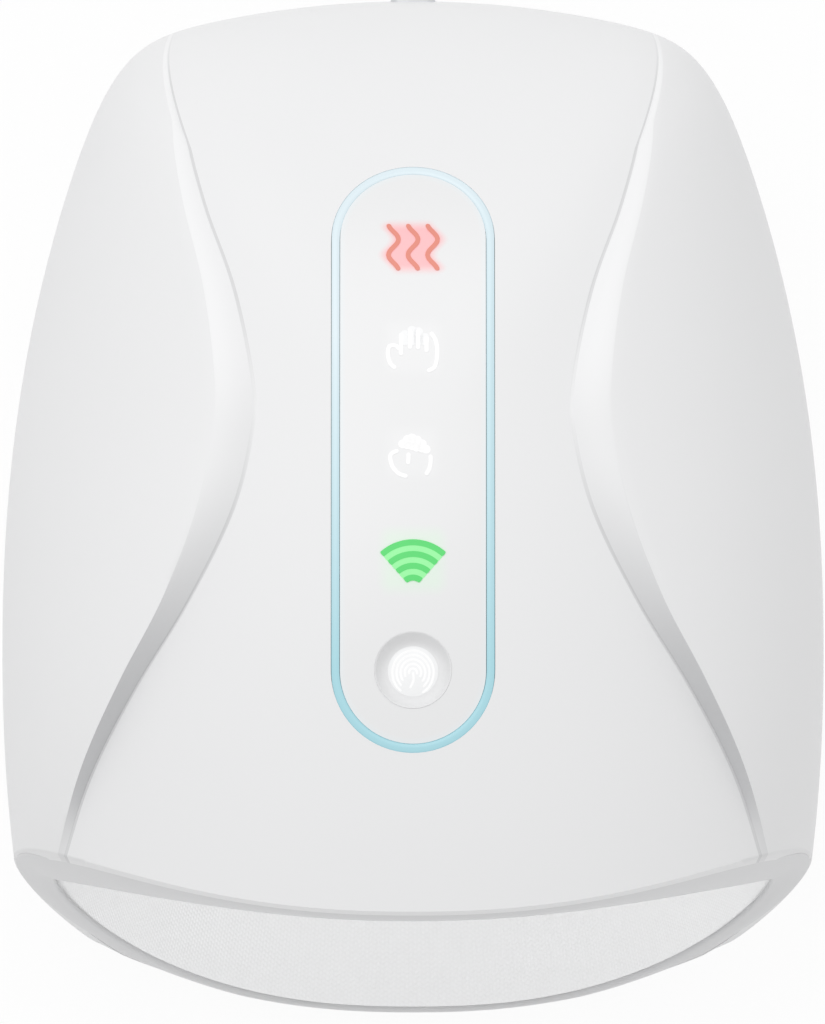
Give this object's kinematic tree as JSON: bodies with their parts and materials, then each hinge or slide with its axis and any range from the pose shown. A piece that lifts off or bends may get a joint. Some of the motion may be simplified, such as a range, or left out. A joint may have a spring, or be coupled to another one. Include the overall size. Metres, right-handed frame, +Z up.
{
  "type": "hand massager",
  "caption": "White two-part shell with a wide mouth for a hand, air bags over a heated palm plate, a lit control strip and a dished push button.",
  "frame": {"origin": "centre of the base on the plane the rubber feet stand on", "axes": "+Z up, +Y from the mouth to the closed end over the fingertips, +X to the right seen from the mouth"},
  "size_m": [0.165, 0.2033, 0.095],
  "materials": {
    "shell_white": "satin moulded plastic",
    "strip_white": "smooth gloss plastic",
    "bezel_grey": "fine satin plastic",
    "light_guide": "lit translucent plastic",
    "lining_pale": "smooth coated fabric",
    "air_bag_skin": "matt film",
    "frame_plastic": "moulded plastic",
    "heater_film": "amber film",
    "circuit_board": "solder mask",
    "black_plastic": "moulded plastic",
    "dark_rubber": "matt rubber",
    "steel": "zinc-plated",
    "battery_wrap": "shrink film",
    "clear_hose": "soft tube",
    "led_lens": "moulded lens"
  },
  "bodies": {
    "housing": {"top_casing": "shell_white", "bottom_casing": "shell_white", "mouth_bezel": "bezel_grey", "control_strip": "strip_white", "light_ring": "light_guide", "tact_switch": "black_plastic", "switch_board": "circuit_board", "led_board": "circuit_board", "heat_led": "led_lens", "fingers_led": "led_lens", "palm_led": "led_lens", "level_led": "led_lens", "light_baffle": "frame_plastic", "led_board_screw_front": "steel", "led_board_screw_back": "steel", "main_board": "circuit_board", "control_chip": "black_plastic", "buzzer": "black_plastic", "board_connector": "black_plastic", "main_board_screw_front": "steel", "main_board_screw_back": "steel", "rubber_foot_front_left": "dark_rubber", "rubber_foot_front_right": "dark_rubber", "rubber_foot_back_left": "dark_rubber", "rubber_foot_back_right": "dark_rubber", "casing_screw_front_left": "steel", "casing_screw_front_right": "steel", "casing_screw_back_left": "steel", "casing_screw_back_right": "steel", "upper_lining": "lining_pale", "lower_lining": "lining_pale", "palm_air_bag": "air_bag_skin", "finger_air_bag": "air_bag_skin", "upper_frame": "frame_plastic", "frame_screw_front_left": "steel", "frame_screw_front_right": "steel", "frame_screw_back_left": "steel", "frame_screw_back_right": "steel", "palm_plate": "frame_plastic", "heating_film": "heater_film", "battery_tray": "frame_plastic", "battery_cell_left": "battery_wrap", "battery_cell_right": "battery_wrap", "pump_motor": "steel", "pump_head": "black_plastic", "inner_valve_body": "black_plastic", "outer_valve_body": "black_plastic", "air_manifold": "frame_plastic", "pump_cradle": "frame_plastic", "pump_hose": "clear_hose", "palm_hose": "clear_hose", "finger_hose": "clear_hose", "pump_lead": "dark_rubber", "charging_board": "circuit_board", "charging_socket": "steel"},
    "button": {"power_button": "strip_white", "switch_plunger": "black_plastic"},
    "pump_rotor": {"pump_shaft": "steel"},
    "inner_valve": {"inner_valve_plunger": "steel"},
    "outer_valve": {"outer_valve_plunger": "steel"}
  },
  "joints": [
    {"name": "button_press", "type": "slide", "parent": "housing", "child": "button", "axis": [0, 0.1569, -0.9876], "range_m": [0, 0.0006], "stiffness_N_per_m": 1500},
    {"name": "pump_spin", "type": "hinge", "parent": "housing", "child": "pump_rotor", "pos_m": [0, 0.0687, 0.0226], "axis": [1, 0, 0], "continuous": true},
    {"name": "inner_valve_slide", "type": "slide", "parent": "housing", "child": "inner_valve", "axis": [0, -1, 0], "range_m": [0, 0.001], "stiffness_N_per_m": 300},
    {"name": "outer_valve_slide", "type": "slide", "parent": "housing", "child": "outer_valve", "axis": [0, -1, 0], "range_m": [0, 0.001], "stiffness_N_per_m": 300}
  ]
}
